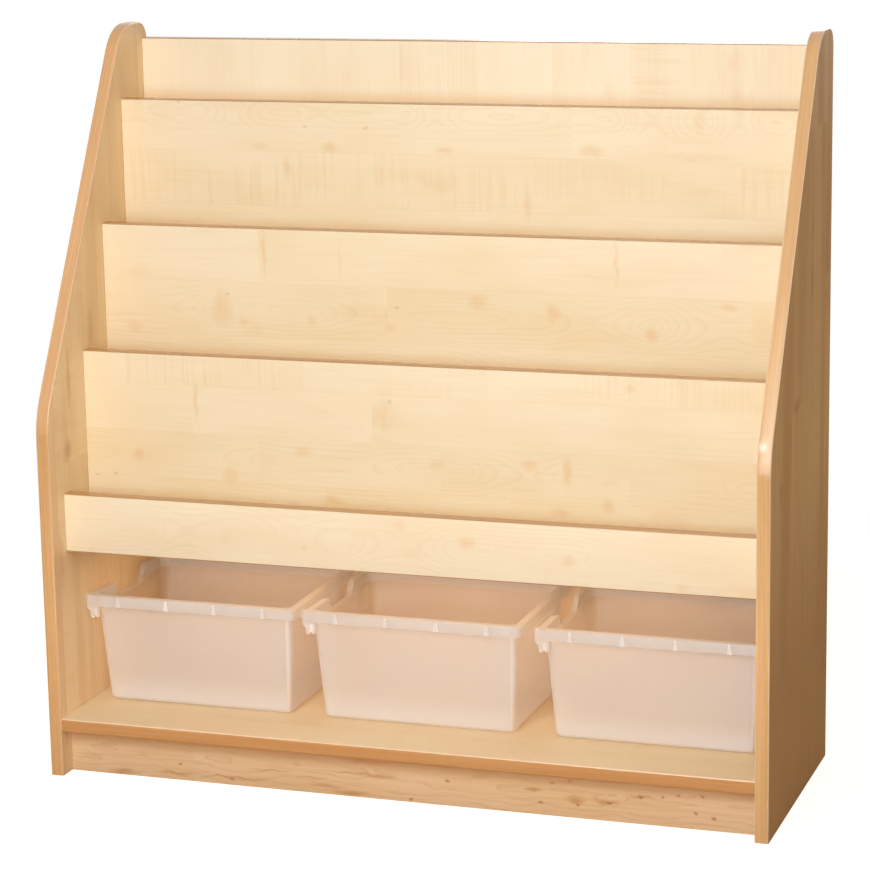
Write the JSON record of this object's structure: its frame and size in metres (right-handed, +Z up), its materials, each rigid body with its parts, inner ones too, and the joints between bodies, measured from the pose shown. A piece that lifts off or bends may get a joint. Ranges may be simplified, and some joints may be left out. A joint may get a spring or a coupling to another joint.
{
  "type": "tiered book display unit",
  "caption": "Tiered display bookcase of maple-faced boards with profiled sides, stepped face-forward book pockets and translucent pull-out trays on a plinth shelf.",
  "frame": {"origin": "on the floor under the middle of the unit", "axes": "+Z up, -Y towards the front where the trays come out, +X towards the right-hand side panel"},
  "size_m": [1, 0.37, 1],
  "materials": {
    "maple_board": "pale maple melamine foil on chipboard, satin",
    "beech_edging": "orange beech edge band, satin",
    "beech_dowel": "raw beech dowel, glued",
    "frosted_plastic": "frosted translucent moulding"
  },
  "bodies": {
    "cabinet": {"left_side_panel": "maple_board", "right_side_panel": "maple_board", "back_panel": "maple_board", "base_shelf": "maple_board", "front_plinth": "maple_board", "front_rail": "maple_board", "bay_shelf": "maple_board", "lower_tier_panel": "maple_board", "middle_tier_panel": "maple_board", "upper_tier_panel": "maple_board", "lower_pocket_floor": "maple_board", "middle_pocket_floor": "maple_board", "upper_pocket_floor": "maple_board", "left_side_edging": "beech_edging", "right_side_edging": "beech_edging", "back_panel_edging": "beech_edging", "base_shelf_edging": "beech_edging", "rail_top_edging": "beech_edging", "rail_bottom_edging": "beech_edging", "lower_tier_edging": "beech_edging", "middle_tier_edging": "beech_edging", "upper_tier_edging": "beech_edging", "dowel_base_shelf_left_1": "beech_dowel", "dowel_base_shelf_right_1": "beech_dowel", "dowel_base_shelf_left_2": "beech_dowel", "dowel_base_shelf_right_2": "beech_dowel", "dowel_front_plinth_left_1": "beech_dowel", "dowel_front_plinth_right_1": "beech_dowel", "dowel_back_panel_left_1": "beech_dowel", "dowel_back_panel_right_1": "beech_dowel", "dowel_back_panel_left_2": "beech_dowel", "dowel_back_panel_right_2": "beech_dowel", "dowel_bay_shelf_left_1": "beech_dowel", "dowel_bay_shelf_right_1": "beech_dowel", "dowel_bay_shelf_left_2": "beech_dowel", "dowel_bay_shelf_right_2": "beech_dowel", "dowel_front_rail_left_1": "beech_dowel", "dowel_front_rail_right_1": "beech_dowel", "dowel_lower_tier_panel_left_1": "beech_dowel", "dowel_lower_tier_panel_right_1": "beech_dowel", "dowel_lower_tier_panel_left_2": "beech_dowel", "dowel_lower_tier_panel_right_2": "beech_dowel", "dowel_middle_tier_panel_left_1": "beech_dowel", "dowel_middle_tier_panel_right_1": "beech_dowel", "dowel_middle_tier_panel_left_2": "beech_dowel", "dowel_middle_tier_panel_right_2": "beech_dowel", "dowel_upper_tier_panel_left_1": "beech_dowel", "dowel_upper_tier_panel_right_1": "beech_dowel", "dowel_upper_tier_panel_left_2": "beech_dowel", "dowel_upper_tier_panel_right_2": "beech_dowel", "dowel_lower_pocket_floor_left_1": "beech_dowel", "dowel_lower_pocket_floor_right_1": "beech_dowel", "dowel_middle_pocket_floor_left_1": "beech_dowel", "dowel_middle_pocket_floor_right_1": "beech_dowel", "dowel_upper_pocket_floor_left_1": "beech_dowel", "dowel_upper_pocket_floor_right_1": "beech_dowel"},
    "left_tray": {"left_tray": "frosted_plastic"},
    "middle_tray": {"middle_tray": "frosted_plastic"},
    "right_tray": {"right_tray": "frosted_plastic"}
  },
  "joints": [
    {"name": "left_tray_slide", "type": "slide", "parent": "cabinet", "child": "left_tray", "axis": [0, -1, 0], "range_m": [-0.025, 0.18]},
    {"name": "middle_tray_slide", "type": "slide", "parent": "cabinet", "child": "middle_tray", "axis": [0, -1, 0], "range_m": [-0.025, 0.18]},
    {"name": "right_tray_slide", "type": "slide", "parent": "cabinet", "child": "right_tray", "axis": [0, -1, 0], "range_m": [-0.025, 0.18]}
  ]
}
